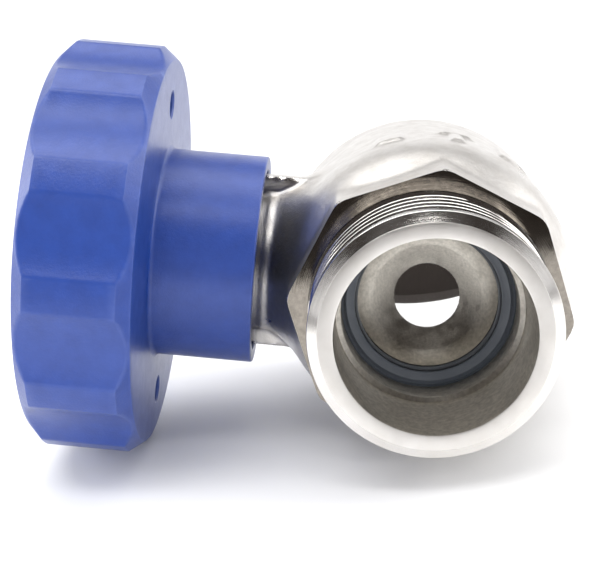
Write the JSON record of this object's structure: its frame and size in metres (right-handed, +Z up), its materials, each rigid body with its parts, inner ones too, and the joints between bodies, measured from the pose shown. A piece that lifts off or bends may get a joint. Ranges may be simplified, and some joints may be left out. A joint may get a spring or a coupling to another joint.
{
  "type": "quarter-turn ball valve",
  "caption": "Plated brass ball valve with a male union end, a female rear end and a scalloped blue hand knob on a long hub skirt.",
  "frame": {"origin": "centre of the front port at its sealing face, on the pipe axis", "axes": "+Y runs back along the pipe axis, +Z up; the valve lies on its side on the knob's rim and the ball housing, with the stem axis towards -X and 12 degrees up"},
  "size_m": [0.0829, 0.068, 0.0636],
  "materials": {
    "plated_body": "nickel plated casting, satin on machined faces",
    "plated_end": "nickel plated, satin",
    "brass_parts": "turned, bare",
    "ball_chrome": "polished with fine brush lines",
    "seat_ptfe": "filled PTFE, blue-grey",
    "white_ptfe": "plain PTFE",
    "seal_rubber": "smooth black elastomer",
    "knob_blue": "moulded, satin with fine grain",
    "cover_blue": "moulded, satin",
    "marker_white": "moulded, satin",
    "zinc_steel": "zinc plated"
  },
  "bodies": {
    "casing": {"body": "plated_body", "end_connector": "plated_end", "end_o_ring": "seal_rubber", "front_seat": "seat_ptfe", "rear_seat": "seat_ptfe", "front_seat_o_ring": "seal_rubber", "rear_seat_o_ring": "seal_rubber", "thrust_washer": "white_ptfe", "packing_ring": "white_ptfe", "gland_nut": "brass_parts"},
    "ball_body": {"ball": "ball_chrome"},
    "knob_body": {"stem": "brass_parts", "stem_o_ring_lower": "seal_rubber", "stem_o_ring_upper": "seal_rubber", "knob": "knob_blue", "drive_insert": "brass_parts", "flat_washer": "zinc_steel", "spring_washer": "zinc_steel", "knob_screw": "zinc_steel", "knob_cover": "cover_blue", "position_marker": "marker_white", "knob_cap": "cover_blue"}
  },
  "joints": [
    {"name": "knob_turn", "type": "hinge", "parent": "casing", "child": "knob_body", "pos_m": [0, 0.0344, 0], "axis": [-0.9782, 0, 0.2076], "range_deg": [0, 90]},
    {"name": "ball_turn", "type": "hinge", "parent": "casing", "child": "ball_body", "pos_m": [0, 0.0344, 0], "axis": [-0.9782, 0, 0.2076], "range_deg": [0, 90]}
  ],
  "couplings": [
    {"joint": "ball_turn", "follows": "knob_turn", "ratio": 1}
  ]
}
